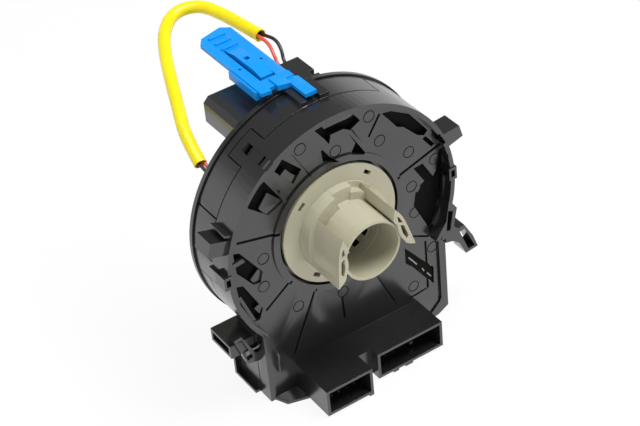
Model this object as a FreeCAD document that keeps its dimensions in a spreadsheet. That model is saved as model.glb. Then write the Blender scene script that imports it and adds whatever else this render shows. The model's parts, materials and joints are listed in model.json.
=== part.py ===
import FreeCAD, Part
import math
import os
import Sketcher
from FreeCAD import Placement, Rotation, Vector

# Steering clock spring: a flat drum that carries wiring from the column (-Y side) to the wheel (+Y side).
# The steering axis is Y, Z is up and the origin lies in the front face of the cream hub flange.

doc = FreeCAD.newDocument("clock_spring")
sheet = doc.addObject("Spreadsheet::Sheet", "sizes")

DRIVING = {
    # drum casing: radii about the steering axis and stations along it
    "shell_rad": 54.8, "shell_wall": 2.0, "rim_front_y": -3.6, "face_y": 1.0, "face_wall": 2.0,
    "seam_y": 8.5, "ring_rear_y": 21.8, "seam_groove": 0.5, "hub_hole_rad": 28.4, "collar_wide": 3.1,
    "collar_height": 0.9, "groove_deep": 1.2, "lug_wide": 5.6, "lug_reach": 5.6, "eye_wide": 3.8, "eye_high": 6.0,
    "eye_wall": 1.0,
    # lower body of the casing
    "body_left_x": -40.7, "body_right_x": 51.5, "floor_z": -74.6, "corner_wide": 5.5, "corner_high": 3.0,
    "side_wall": 2.2, "body_rear_y": 26.2, "rear_inset": 3.0, "guide_top_z": -43.0, "guide_high": 6.5,
    "guide_reach": 11.6, "guide_wall": 1.4, "ledge_reach": 2.7,
    # socket block
    "block_top_z": -60.1, "block_low_z": -73.3, "socket_wall": 1.3, "socket_deep": 15.0,
    "narrow_left_x": -27.6, "narrow_right_x": -4.8, "narrow_front_y": -22.4,
    "wide_left_x": 1.6, "wide_right_x": 34.9, "wide_front_y": -17.1, "web_front_y": -12.5,
    # contacts
    "pin_side": 0.64, "pin_pitch": 3.8, "pin_reach": 9.0, "blade_side": 1.5, "pin_margin": 2.6, "hole_room": 1.0,
    # hub sleeve
    "hub_gap": 1.4, "disc_wall": 1.6, "tube_rad": 13.36, "tube_wall": 1.0, "tube_front_y": -22.5,
    "boss_rad": 19.5, "boss_height": 6.5, "plateau_height": 3.8, "step_height": 4.6, "step_rad": 16.8,
    "wing_height": 24.0, "wing_pocket": 9.0, "slot_long": 3.6, "slot_wide": 1.8, "slot_ring_rad": 23.6,
    "shelf_y": 3.0, "shelf_rad": 9.6, "shelf_wall": 1.5, "low_step": 0.6,
    # rotor
    "drum_rad": 29.0, "drum_wall": 2.0, "drum_bore_rad": 12.4, "rotor_gap": 0.35, "disc_lip": 0.8,
    "rotor_rear_y": 24.2, "box_sink": 5.8, "box_high": 11.3, "box_left_x": -29.5, "box_right_x": 15.5,
    "box_corner": 2.4, "box_rear_y": 46.5, "box_wall": 1.6, "cover_wall": 1.4, "cover_gap": 0.15,
    "chamber_left_x": 4.0, "box_pitch": 4.0, "box_row": 3.6, "box_pin_long": 8.0, "notch_wide": 3.0,
    # transport lock
    "clip_lift": 2.2, "clip_wall": 1.6, "clip_left_x": -16.6, "clip_right_x": 0.0, "clip_rear_y": 74.0,
    "clip_front_y": 23.4, "tongue_mid_x": -1.1, "tongue_wide": 5.2, "tongue_front_y": 10.5, "rail_gap": 0.3,
    "rail_left_wide": 3.0, "rail_right_wide": 4.2, "rail_front_y": 9.0, "rail_sink": 3.0, "skirt_drop": 2.4,
    "ridge_wide": 7.5, "ridge_long": 1.3, "ridge_high": 0.7, "latch_wide": 5.6, "latch_high": 1.2,
    # ribbon cables and slip rings
    "ribbon_wall": 0.25, "ribbon_turns": 5, "ribbon_start": 3.0, "ribbon_room": 4.8, "ribbon_width": 12.0,
    "slip_wall": 0.4, "slip_gap": 0.3, "joint_gap": 0.3, "joint_long": 7.0, "ribbon_end_angle": 236.0,
    # lead
    "sleeve_rad": 2.75, "sleeve_bore_rad": 2.3, "wire_rad": 0.75, "wire_offset": 0.95,
}

for row, (alias, number) in enumerate(DRIVING.items(), start=1):
    sheet.set("A%d" % row, alias)
    sheet.set("B%d" % row, str(number))
    sheet.setAlias("B%d" % row, alias)
doc.recompute()


class Size:
    # a number together with the sheet expression it came from, so that features can be bound to cells
    def __init__(self, value, text):
        self.value = float(value)
        self.text = text

    def join(self, other, sign, result):
        text = other.text if isinstance(other, Size) else repr(other)
        return Size(result, "(%s %s %s)" % (self.text, sign, text))

    def __add__(self, other):
        return self.join(other, "+", self.value + number_of(other))

    def __radd__(self, other):
        return self + other

    def __rmul__(self, other):
        return self * other

    def __sub__(self, other):
        return self.join(other, "-", self.value - number_of(other))

    def __rsub__(self, other):
        return -self + other

    def __mul__(self, other):
        return self.join(other, "*", self.value * number_of(other))

    def __truediv__(self, other):
        return self.join(other, "/", self.value / number_of(other))

    def __neg__(self):
        return Size(-self.value, "(-1 * %s)" % self.text)


class Sizes:
    def __getattr__(self, alias):
        return Size(sheet.get(alias), "sizes." + alias)


def number_of(item):
    return item.value if isinstance(item, Size) else float(item)





at = Sizes()


def bind(item, path, size):
    if isinstance(size, Size):
        item.setExpression(path, size.text)


# sketches and features

def body(name):
    return doc.addObject("PartDesign::Body", name)


def sketch(owner, name, plane, offset=0):
    # planes: XZ faces the viewer (normal -Y), XY is seen from above, YZ from the right
    made = owner.newObject("Sketcher::SketchObject", name)
    base = [item for item in owner.Origin.OriginFeatures if item.Role == plane + "_Plane"][0]
    made.AttachmentSupport = (base, [""])
    made.MapMode = "FlatFace"
    made.AttachmentOffset = Placement(Vector(0, 0, number_of(offset)), Rotation())
    bind(made, "AttachmentOffset.Base.z", offset)
    return made


def fix(made, geo, point, spot):
    for axis, size in zip(("DistanceX", "DistanceY"), spot):
        index = made.addConstraint(Sketcher.Constraint(axis, -1, 1, geo, point, number_of(size)))
        bind(made, "Constraints[%d]" % index, size)


def outline(made, points):
    spots = [Vector(number_of(x), number_of(y), 0) for x, y in points]
    first = made.GeometryCount
    count = len(spots)
    for index, spot in enumerate(spots):
        made.addGeometry(Part.LineSegment(spot, spots[(index + 1) % count]), False)
    for index, spot in enumerate(points):
        made.addConstraint(Sketcher.Constraint("Coincident", first + index, 2, first + (index + 1) % count, 1))
        fix(made, first + index, 1, spot)








def pad(owner, made, length, away=False):
    feature = owner.newObject("PartDesign::Pad", made.Name + "_pad")
    feature.Profile = made
    feature.Length = number_of(length)
    bind(feature, "Length", length)
    feature.Reversed = away
    owner.Tip = feature
    return feature





def revolve(owner, made):
    feature = owner.newObject("PartDesign::Revolution", made.Name + "_turn")
    feature.Profile = made
    feature.ReferenceAxis = (made, ["V_Axis"])
    feature.Angle = 360
    owner.Tip = feature
    return feature


def solid_of(item):
    doc.recompute()
    return item.Shape


def turned(name, points):
    # a ring or drum: the outline gives radius and station along the steering axis
    owner = body(name)
    profile = sketch(owner, name + "_profile", "XY")
    outline(profile, points)
    revolve(owner, profile)
    return owner


def ring(name, inner, outer, low_y, high_y):
    return turned(name, [(inner, low_y), (outer, low_y), (outer, high_y), (inner, high_y)])


def slab(name, low_y, high_y, points):
    # a flat plate of the given front outline, from high_y forward to low_y
    owner = body(name)
    profile = sketch(owner, name + "_profile", "XZ", -high_y)
    outline(profile, points)
    pad(owner, profile, high_y - low_y)
    return owner


def side_slab(name, low_x, high_x, points):
    # a plate seen from the right: its outline gives station and height
    owner = body(name)
    profile = sketch(owner, name + "_profile", "YZ", low_x)
    outline(profile, points)
    pad(owner, profile, high_x - low_x)
    return owner


def deck(name, low_z, high_z, points):
    # a plate seen from above
    owner = body(name)
    profile = sketch(owner, name + "_profile", "XY", low_z)
    outline(profile, points)
    pad(owner, profile, high_z - low_z)
    return owner


def brick(name, low, high):
    made = doc.addObject("Part::Box", name)
    made.Placement = Placement(Vector(*[number_of(size) for size in low]), Rotation())
    for path, start, end in zip(("Length", "Width", "Height"), low, high):
        span = end - start
        setattr(made, path, number_of(span))
        bind(made, path, span)
    for path, start in zip(("x", "y", "z"), low):
        bind(made, "Placement.Base." + path, start)
    return made


def radial_brick(name, angle, low, high):
    # a box laid along the radius at an angle; low and high give radius, station and sideways offset
    made = brick(name, low, high)
    for path in ("x", "y", "z"):
        made.setExpression("Placement.Base." + path, None)
    turn = Rotation(Vector(0, 1, 0), -angle)
    made.Placement = Placement(turn.multVec(Vector(*[number_of(size) for size in low])), turn)
    return made


def rod(name, radius, low_y, high_y, centre):
    made = doc.addObject("Part::Cylinder", name)
    made.Radius = number_of(radius)
    bind(made, "Radius", radius)
    length = high_y - low_y
    made.Height = number_of(length)
    bind(made, "Height", length)
    start = Vector(number_of(centre[0]), number_of(low_y), number_of(centre[1]))
    made.Placement = Placement(start, Rotation(Vector(1, 0, 0), -90))
    return made


def sector(name, start_angle, end_angle, reach, low_y, high_y):
    # a pie slice used to keep or remove a stretch of a ring
    steps = max(1, math.ceil((end_angle - start_angle) / 60.0))
    angles = [start_angle + (end_angle - start_angle) * index / steps for index in range(steps + 1)]
    rim = [polar(number_of(reach) * 1.2, angle) for angle in angles]
    return slab(name, low_y, high_y, [(0, 0)] + rim)


def polar(radius, angle):
    turn = math.radians(angle)
    return number_of(radius) * math.cos(turn), number_of(radius) * math.sin(turn)


def fuse(name, items):
    if len(items) == 1:
        return items[0]
    made = doc.addObject("Part::MultiFuse", name)
    made.Shapes = items
    return made


def cut(name, base, tools):
    made = doc.addObject("Part::Cut", name)
    made.Base = base
    made.Tool = tools[0] if len(tools) == 1 else fuse(name + "_tools", tools)
    return made


def common(name, base, tool):
    made = doc.addObject("Part::Common", name)
    made.Base = base
    made.Tool = tool
    return made


def feature(name, shape):
    made = doc.addObject("Part::Feature", name)
    made.Shape = shape
    return made


# front casing: shell, face plate, collar, lower body and socket block

# the face pattern is drawn for this shell radius and follows the shell
DRAWN_RAD = 54.8
LUG_EYES = [("eye_right", 53.6, 1.2), ("eye_left", -55.0, 0.5)]
GROOVES = [
    (-46.8, 13.1, -27.7, 8.5, 1.2), (-37.7, -26.1, -24.8, -16.9, 1.1), (-13.9, -26.9, -27.3, -55.7, 1.0),
    (-1.8, -38.2, -1.4, -49.8, 1.1), (15.7, -36.5, 24.0, -54.8, 0.8), (29.0, 8.1, 51.9, 14.8, 1.3),
    (23.2, 42.3, 17.3, 33.9, 1.1), (34.9, -25.2, 43.2, -29.4, 0.9), (-18.0, 42.0, -11.0, 28.8, 0.5),
    (41.3, -31.0, 41.3, -56.6, 1.1), (41.3, -56.6, 31.5, -57.4, 1.0), (47.2, -32.0, 47.2, -66.5, 1.9),
    (47.2, -66.5, 40.0, -73.0, 1.8),
]
WINDOWS = {
    "snap": [(-26.5, 38.0), (-22.5, 42.0), (-14.5, 33.5), (-18.8, 28.5)],
    "left": [(-40.5, 27.5), (-37.5, 33.0), (-31.5, 35.8), (-24.0, 22.5), (-31.5, 19.5)],
    "slot": [(-49.0, 9.0), (-46.2, 8.0), (-37.0, -6.0), (-38.5, -10.8), (-41.5, -10.6), (-48.5, -1.0)],
    "low_left": [(-49.5, -7.5), (-46.5, -8.5), (-39.0, -24.0), (-41.0, -29.0), (-43.8, -28.6), (-48.8, -17.0)],
    "top": [(-7.3, 48.5), (-3.0, 42.5), (-1.0, 39.0), (0.0, 42.8), (6.0, 43.0), (9.0, 41.0), (14.0, 43.5), (10.5, 48.5)],
    "top_slot": [(8.0, 40.3), (10.0, 41.0), (15.8, 29.2), (14.0, 27.4), (8.4, 30.0), (11.0, 34.0)],
    "arrow": [(-5.0, 37.5), (-4.4, 38.0), (-1.5, 33.5), (2.4, 29.4), (-4.6, 32.2)],
    "top_right": [
        (24.2, 42.0), (28.5, 41.2), (37.0, 36.0), (45.6, 24.2), (43.8, 22.4), (40.5, 24.0), (34.0, 31.0),
        (31.0, 32.4), (28.8, 35.6)],
    "tab_slot": [(42.8, 21.0), (44.4, 21.8), (48.6, 16.0), (47.0, 15.2)],
    "rim_slot": [(47.0, 23.4), (48.2, 23.6), (51.0, 18.0), (49.8, 17.4)],
    "right": [
        (37.6, 8.6), (42.2, 9.0), (44.6, 4.6), (47.0, 0.4), (48.6, 2.6), (50.6, 12.0), (52.0, 12.0), (52.0, 0.0),
        (51.6, -10.0), (49.4, -22.0), (44.0, -29.0), (43.0, -23.8), (36.6, -10.0), (38.2, -2.4), (42.6, 0.0)],
    "low_right": [(30.7, -29.5), (44.8, -47.0), (44.5, -56.0), (30.7, -37.5)],
}
# posts, tabs and bars that stand in the windows: outline, front and rear station against the face
FITTINGS = {
    "snap_post": ([(-24.6, 35.3), (-21.9, 37.3), (-19.9, 34.5), (-22.6, 32.5)], -0.4, 2.0),
    "snap_arm": ([(-23.0, 33.4), (-20.8, 35.0), (-16.8, 31.0), (-19.4, 28.0)], 0.8, 2.0),
    "left_tab": ([(-35.0, 24.0), (-30.5, 29.5), (-24.0, 22.5), (-31.5, 18.5)], 0.7, 2.0),
    "left_lip": ([(-26.0, 28.0), (-25.2, 28.4), (-22.8, 22.2), (-24.2, 22.0)], -0.8, 2.0),
    "slot_bar": ([(-50.5, 2.4), (-50.5, 4.4), (-45.4, 5.2), (-44.4, 3.2)], -0.6, 2.0),
    "slot_shelf": ([(-42.5, -8.0), (-38.5, -4.5), (-36.0, -8.0), (-40.5, -11.5)], 0.9, 2.0),
    "low_left_bar": ([(-49.2, -14.0), (-47.9, -13.4), (-42.4, -28.8), (-43.7, -29.2)], 0.5, 2.0),
    "low_left_step": ([(-42.6, -22.6), (-39.8, -21.4), (-38.4, -25.4), (-40.6, -26.2)], 0.6, 2.0),
    "top_bracket": ([
        (-0.6, 43.6), (5.6, 43.6), (9.2, 41.2), (16.4, 28.4), (15.0, 27.6), (8.2, 39.8), (5.0, 42.2),
        (-0.6, 42.2)], -0.7, 2.0),
    "top_shelf": ([(-2.0, 46.0), (13.0, 46.0), (12.0, 50.0), (-4.0, 50.0)], 1.2, 2.0),
    "right_tab": ([(37.0, -3.4), (39.0, -0.6), (41.0, -2.4), (39.4, -4.6)], 0.6, 2.0),
    "right_shelf": ([(45.6, -24.5), (50.5, -17.0), (51.8, -19.0), (47.5, -27.5)], 0.5, 2.0),
    "low_right_bar": ([(30.5, -33.2), (31.4, -32.0), (45.0, -50.6), (45.0, -52.8)], 0.9, 2.0),
}
# stretches where the front casing's wall reaches further back: start and end angle, rear station past the seam
SEAM_TABS = [("tab_snap", 117.5, 131.5, 9.2), ("tab_strut", 176.5, 188.0, 12.0), ("tab_right", 46.0, 58.0, 11.0),
             ("tab_left", 188.2, 214.0, 4.1)]
SNAP_ANGLE = 124.5
STRUT_ANGLE = 179.6
LUG_RIGHT = [(49.0, 21.4), (51.1, 21.9), (58.4, 22.6), (60.0, 16.9), (52.6, 14.8)]
NOTCH_BOX = [(50.2, -11.6), (52.0, -12.8), (55.1, -17.4), (53.3, -25.4), (51.5, -31.4), (46.5, -30.6)]
NOTCH_MOUTH = [(50.6, -17.0), (53.0, -18.2), (51.2, -27.6), (49.2, -27.0)]
HOOK = [(50.0, -24.5), (53.2, -26.6), (55.6, -28.8), (58.4, -28.1), (62.8, -36.1), (65.2, -43.0), (58.8, -43.8),
        (55.6, -36.6), (52.6, -34.0), (48.5, -33.0)]
HOOK_MOUTH = [(56.0, -30.8), (58.6, -30.4), (63.6, -41.9), (60.2, -42.2)]
LOOP = [(-51.6, -38.4), (-48.0, -38.0), (-42.4, -49.6), (-39.5, -50.2), (-39.5, -55.0), (-46.6, -53.4)]
LOOP_MOUTH = [(-50.0, -40.0), (-47.8, -39.8), (-43.7, -51.0), (-46.3, -51.8)]


def on_face(points):
    return [(at.shell_rad * (x / DRAWN_RAD), at.shell_rad * (z / DRAWN_RAD)) for x, z in points]


def lower_outline(inset=0, right_inset=0):
    top = at.hub_hole_rad * -1.05 + inset
    left = at.body_left_x + inset
    low = at.floor_z + inset
    right = at.body_right_x - inset - right_inset
    return [
        (left, top), (left, low), (right - at.corner_wide, low), (right, low + at.corner_high),
        (right, top), (at.hub_hole_rad, top),
    ]


def socket_block(name, left, right, front, top=None):
    top = top or at.block_top_z
    return brick(name, (left, front, at.block_low_z), (right, at.face_y + at.face_wall, top))


def socket_cavity(name, left, right, front):
    wall = at.socket_wall
    return brick(
        name, (left + wall, front - 1, at.block_low_z + wall),
        (right - wall, front + at.socket_deep, at.block_top_z - wall))


def lower_skirt():
    # side and bottom walls of the lower body, from the face back to the seam
    block = slab("skirt_block", at.face_y, at.seam_y - at.seam_groove / 2, lower_outline())
    hollow = slab("skirt_hollow", at.face_y - 1, at.seam_y + 1, lower_outline(at.side_wall))
    core = rod("skirt_core", at.shell_rad - at.shell_wall, at.rim_front_y, at.seam_y + 2, (0, 0))
    return cut("skirt", block, [hollow, core])


def face_plate():
    rear = at.face_y + at.face_wall
    disc = ring("face_disc", at.hub_hole_rad, at.shell_rad - at.shell_wall / 2, at.face_y, rear)
    low = slab("face_low", at.face_y, rear, lower_outline())
    keep_clear = rod("hub_clear", at.hub_hole_rad, at.face_y - 1, at.seam_y, (0, 0))
    return fuse("face_plate", [disc, cut("face_low_open", low, [keep_clear])])


def groove_tool(index, ends):
    # a straight groove in the face, laid along the line between its two ends
    *ends, wide = ends
    ax, az, bx, bz = [size * at.shell_rad.value / DRAWN_RAD for size in ends]
    made = doc.addObject("Part::Box", "groove_%d" % index)
    made.Length = math.hypot(bx - ax, bz - az)
    deep = at.groove_deep + 1
    made.Width = deep.value
    bind(made, "Width", deep)
    made.Height = wide
    turn = Rotation(Vector(0, 1, 0), -math.degrees(math.atan2(bz - az, bx - ax)))
    offset = turn.multVec(Vector(0, 0, -wide / 2))
    made.Placement = Placement(Vector(ax, at.face_y.value - 1, az) + offset, turn)
    return made


def face_windows():
    rear = at.face_y + at.face_wall
    return [slab("window_" + name, at.rim_front_y, rear + at.slip_gap, on_face(points))
            for name, points in WINDOWS.items()]


def face_fittings():
    return [slab(name, at.face_y + front, at.face_y + rear, on_face(points))
            for name, (points, front, rear) in FITTINGS.items()]


def wall_lug(name, angle, width, reach, low_y, high_y):
    return radial_brick(name, angle, (at.shell_rad - at.shell_wall / 2, low_y, width * -0.5),
                        (at.shell_rad + reach, high_y, width * 0.5))


def eyelet(name, x, z):
    x, z = on_face([(x, z)])[0]
    wide, high = at.eye_wide / 2, at.eye_high / 2
    return brick(name, (x - wide, at.rim_front_y - at.eye_wall / 2, z - high),
                 (x + wide, at.face_y + at.face_wall, z + high))


def eyelet_hole(name, x, z):
    x, z = on_face([(x, z)])[0]
    wide, high = at.eye_wide / 2 - at.eye_wall, at.eye_high / 2 - at.eye_wall * 1.3
    return brick(name, (x - wide, at.rim_front_y - at.eye_wall, z - high), (x + wide, at.face_y, z + high))


def front_housing():
    rear = at.face_y + at.face_wall
    band = ring("shell_band", at.shell_rad - at.shell_wall, at.shell_rad, at.rim_front_y,
                at.seam_y - at.seam_groove / 2)
    # the rim stops at the lower body, whose front is flush with the face
    wall = cut("shell_front", band, [slab("rim_clear", at.rim_front_y - 1, at.face_y, lower_outline())])
    collar = ring("collar", at.hub_hole_rad, at.hub_hole_rad + at.collar_wide, at.face_y - at.collar_height, rear)
    pieces = [wall, collar, face_plate(), lower_skirt()]
    pieces += [seam_tab(name, start, end, at.seam_y - 1, at.seam_y + reach) for name, start, end, reach in SEAM_TABS]
    pieces += wall_lugs() + lower_fittings() + socket_blocks()
    solid = cut("front_open", fuse("front_solid", pieces), front_tools())
    return cut("front_housing", fuse("front_fitted", [solid] + face_fittings()), pin_holes())


def seam_tab(name, start, end, low_y, high_y):
    whole = ring(name + "_ring", at.shell_rad - at.shell_wall, at.shell_rad, low_y, high_y)
    return common(name, whole, sector(name + "_part", start, end, at.shell_rad, low_y, high_y))


def wall_lugs():
    # what stands out from the drum's wall: lugs, eyelets, strut, fin and hook
    front = at.rim_front_y
    pieces = [eyelet(name, x, z) for name, x, z in LUG_EYES]
    pieces.append(slab("lug_right", front + at.eye_wall / 2, at.face_y + at.lug_wide, on_face(LUG_RIGHT)))
    pieces.append(wall_lug("lug_left", 163.5, at.lug_wide + at.eye_wall, at.lug_reach * 1.43,
                           front + at.eye_wall * 2, at.seam_y - 0.3))
    pieces.append(wall_lug("strut_left", STRUT_ANGLE, at.eye_wide / 2, at.eye_wall, front, at.seam_y + at.eye_wall))
    pieces.append(wall_lug("fin_left", 157.6, at.eye_wall, at.lug_reach * 0.55, front + at.eye_wall, at.seam_y - 0.5))
    pieces.append(slab("notch_box", front, at.face_y + at.face_wall, on_face(NOTCH_BOX)))
    pieces.append(slab("hook_arm", front, at.face_y + at.face_wall * 1.7, on_face(HOOK)))
    return pieces


def lower_fittings():
    # small plates of the lower body: snap loop, side tab and foot plate
    rear = at.seam_y - at.seam_groove / 2
    face = at.face_y
    loop = slab("snap_loop", rear - at.side_wall, rear, on_face(LOOP))
    mouth = slab("snap_loop_mouth", rear - at.side_wall * 2, rear + 1, on_face(LOOP_MOUTH))
    inner_x = at.body_left_x + at.lug_wide * 0.75
    tab = side_slab("side_tab", inner_x, inner_x + at.eye_wall, [
        (face + 1, at.block_top_z * 0.79), (face - at.lug_wide / 2, at.block_top_z * 0.83),
        (face - at.lug_wide / 2, at.block_top_z * 0.975), (face + 1, at.block_top_z)])
    foot = deck("foot_plate", at.floor_z, at.block_low_z, [
        (at.body_left_x, rear), (at.body_left_x, face + at.lug_wide * 0.8),
        (at.body_left_x + at.lug_wide * 0.8, face - at.lug_wide), (at.narrow_left_x + 1, face - at.lug_wide * 1.5),
        (at.narrow_left_x + 1, rear)])
    return [cut("snap_loop_open", loop, [mouth]), tab, foot]


def socket_blocks():
    low = at.block_low_z
    front = at.wide_front_y
    return [
        socket_block("narrow_block", at.narrow_left_x, at.narrow_right_x, at.narrow_front_y),
        socket_block("wide_block", at.wide_left_x, at.wide_right_x, front),
        socket_block("block_web", at.narrow_right_x - 1, at.wide_left_x + 1, at.web_front_y),
        brick("narrow_foot", (at.narrow_right_x - at.side_wall, at.narrow_front_y, low - at.socket_wall * 0.8),
              (at.narrow_right_x, at.narrow_front_y + at.side_wall, low + 0.2)),
        brick("wide_foot_left", (at.wide_left_x + at.pin_pitch * 2, front, low - at.socket_wall * 0.7),
              (at.wide_left_x + at.pin_pitch * 2.7, front + at.socket_deep, low + 0.2)),
        brick("wide_foot_right", (at.wide_left_x + at.pin_pitch * 3.6, front, low - at.socket_wall * 0.7),
              (at.wide_left_x + at.pin_pitch * 4.6, front + at.socket_deep, low + 0.2)),
    ]


def front_tools():
    tools = [groove_tool(index, ends) for index, ends in enumerate(GROOVES)]
    tools += face_windows() + snap_cuts()
    tools += [eyelet_hole(name + "_hole", x, z) for name, x, z in LUG_EYES]
    tools.append(slab("notch_mouth", at.rim_front_y - 1, at.face_y, on_face(NOTCH_MOUTH)))
    tools.append(slab("hook_mouth", at.rim_front_y - 1, at.seam_y, on_face(HOOK_MOUTH)))
    tools.append(socket_cavity("narrow_cavity", at.narrow_left_x, at.narrow_right_x, at.narrow_front_y))
    tools.append(socket_cavity("wide_cavity", at.wide_left_x, at.wide_right_x, at.wide_front_y))
    return tools


def snap_cuts():
    # a shallow channel along the wall with a square window and two narrow ones through it
    outer = at.shell_rad + 1
    half = at.side_wall * 0.95
    channel = radial_brick("snap_channel", SNAP_ANGLE, (at.shell_rad - at.shell_wall * 0.3, at.rim_front_y - 1, -half),
                           (outer, at.seam_y + at.lug_wide * 0.9, half))
    stations = [("snap_rear", at.seam_y + 1, at.seam_y + at.lug_wide * 0.8), ("snap_middle", at.face_y + 0.4, at.face_y + 1.6),
                ("snap_front", at.face_y - 2.6, at.face_y - 1.4)]
    return [channel] + [radial_brick(name, SNAP_ANGLE, (at.shell_rad - at.shell_wall - 1, low, -half), (outer, high, half))
                        for name, low, high in stations]


# contacts of the two sockets: square pins that run back through the block

def pin_spots():
    low = at.block_low_z + at.socket_wall + at.pin_margin
    narrow_middle = (at.narrow_left_x + at.narrow_right_x) / 2
    wide_start = at.wide_left_x + at.socket_wall + at.pin_margin
    narrow = [(narrow_middle + at.pin_pitch * (index - 1.5), low) for index in range(4)]
    wide = [(wide_start + at.pin_pitch * index, low) for index in range(3)]
    blade = [(wide_start + at.pin_pitch * 4.5, low)]
    return narrow, wide, blade


def pin_group(name, spots, side, front, rear):
    half = side / 2
    pins = []
    for index, (x, z) in enumerate(spots):
        pins.append(brick("%s_%d" % (name, index), (x - half, front, z - half), (x + half, rear, z + half)))
    return pins


def pin_holes():
    narrow, wide, blade = pin_spots()
    rear = at.face_y + at.face_wall + at.hole_room
    start = at.socket_deep - at.hole_room
    tools = pin_group("narrow_hole", narrow, at.pin_side, at.narrow_front_y + start, rear)
    tools += pin_group("wide_hole", wide, at.pin_side, at.wide_front_y + start, rear)
    tools += pin_group("blade_hole", blade, at.blade_side, at.wide_front_y + start, rear)
    return tools


def pins(name, spots, side, front):
    start = front + at.socket_deep - at.pin_reach
    return fuse(name, pin_group(name + "_part", spots, side, start, at.seam_y - at.rail_gap))


# rear casing ring with the rails of the transport lock

def rear_housing():
    front = at.seam_y + at.seam_groove / 2
    rear = at.ring_rear_y
    ring_wall = ring("shell_rear", at.shell_rad - at.shell_wall, at.shell_rad, front, rear)
    gap_angle = math.degrees(at.seam_groove.value / at.shell_rad.value)
    notches = [sector(name + "_notch", start - gap_angle, end + gap_angle, at.shell_rad, front - 1,
                      at.seam_y + reach + at.seam_groove) for name, start, end, reach in SEAM_TABS]
    groove = wall_lug("wall_groove", 156.0, at.seam_groove * 1.4, 1, front, rear + 1)
    notches.append(groove)
    low = slab("rear_low", front, rear, lower_outline(0, at.rear_inset))
    hollow = slab("rear_hollow", at.seam_y - 1, rear + 1, lower_outline(at.side_wall, at.rear_inset))
    core = rod("rear_core", at.shell_rad - at.shell_wall, at.seam_y - 1, rear + 1, (0, 0))
    pieces = [cut("shell_notched", ring_wall, notches), cut("rear_skirt", low, [hollow, core]), guide_box()]
    pieces += side_ledge() + [rail("rail_left", at.rail_left_wide, -1), rail("rail_right", at.rail_right_wide, 1)]
    return fuse("rear_housing", pieces)


def guide_box():
    # short open box on the left wall that takes a harness clip
    wall = at.guide_wall
    front = at.seam_y + at.seam_groove / 2
    rear = at.rotor_rear_y
    outer_x = at.body_left_x - at.guide_reach
    low = at.guide_top_z - at.guide_high
    box = brick("guide_block", (outer_x, front, low), (at.body_left_x + at.side_wall / 2, rear, at.guide_top_z))
    mouth = brick("guide_mouth", (outer_x - 1, front + wall, low + wall),
                  (at.body_left_x - at.guide_reach / 2, rear - wall, at.guide_top_z - wall))
    swept = rod("guide_core", at.shell_rad - at.shell_wall / 2, front - 1, rear + 1, (0, 0))
    return cut("guide_box", box, [mouth, swept])


def side_ledge():
    # a ledge along the foot of the left wall and a post at its rear corner
    outer_x = at.body_left_x - at.ledge_reach
    low = at.floor_z + at.guide_wall / 2
    front = at.seam_y + at.seam_groove / 2
    clear_x = at.body_left_x - at.rail_gap / 2
    return [
        brick("ledge", (outer_x, front, low), (at.body_left_x + at.side_wall / 2, at.ring_rear_y, low + at.guide_wall)),
        brick("ledge_rear", (outer_x, at.ring_rear_y - 1, low), (clear_x, at.body_rear_y - 1, low + at.guide_wall)),
        brick("ledge_post", (outer_x, at.body_rear_y - 1 - at.guide_wall, low), (clear_x, at.body_rear_y - 1, at.block_top_z)),
    ]





def clip_low_z():
    # the lock lies just above all that the rotor sweeps
    return at.shell_rad + at.clip_lift


def rail(name, wide, side):
    near = at.tongue_wide / 2 + at.rail_gap
    far = near + wide
    low_z = at.shell_rad - at.rail_sink
    high_z = clip_low_z() - at.rail_gap
    low_x = at.tongue_mid_x + near if side > 0 else at.tongue_mid_x - far
    high_x = at.tongue_mid_x + far if side > 0 else at.tongue_mid_x - near
    block = brick(name + "_block", (low_x, at.rail_front_y, low_z), (high_x, at.ring_rear_y, high_z))
    core = rod(name + "_core", at.shell_rad - at.shell_wall / 2, at.seam_y - 1, at.ring_rear_y + 1, (0, 0))
    return cut(name, block, [core])


# cover over the joints between ribbon and contacts, at the back of the lower body

def terminal_cover():
    wall = at.side_wall
    gap = at.rail_gap
    top = -at.shell_rad - at.shell_wall - gap * 2
    front = at.ring_rear_y + gap / 6
    right = at.wide_right_x
    plate = brick("terminal_plate", (at.body_left_x, front, at.floor_z), (right, front + wall, top))
    lip = brick("terminal_lip", (at.body_left_x + wall + gap, at.ring_rear_y - wall, at.floor_z + wall + gap),
                (right - wall - gap, at.ring_rear_y + 1, at.floor_z + wall * 2))
    foot = brick("terminal_foot", (at.body_left_x, at.ring_rear_y + wall * 0.5, at.floor_z),
                 (at.body_left_x + wall, at.body_rear_y, at.block_top_z))
    return fuse("terminal_cover", [plate, lip, foot])


# slip rings and ribbon cables inside the drum

def slip_ring(name, low_y):
    return ring(name, at.drum_rad + 1, at.shell_rad - at.shell_wall - at.slip_gap * 2, low_y, low_y + at.slip_wall)


def ribbon_inner_rad():
    return at.drum_rad + at.ribbon_start


def ribbon_outer_rad():
    return at.shell_rad - at.shell_wall - at.ribbon_room


def ribbon_step():
    return (ribbon_outer_rad() - ribbon_inner_rad()) / at.ribbon_turns


def ribbon(name, start_rad):
    # a loose spiral made of half turns whose centres alternate, each half turn half a ribbon step wider
    growth = ribbon_step().value / 2
    radius = start_rad.value
    centre = 0.0
    strips = []
    for index in range(int(at.ribbon_turns.value * 2)):
        up = index % 2 == 0
        strips.append(half_turn(centre, radius, up))
        radius += growth
        centre = -growth if up else 0.0
    spiral = strips[0].fuse(strips[1:])
    spiral.rotate(Vector(0, 0, 0), Vector(0, 1, 0), 180 - at.ribbon_end_angle.value)
    return feature(name, spiral)


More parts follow.
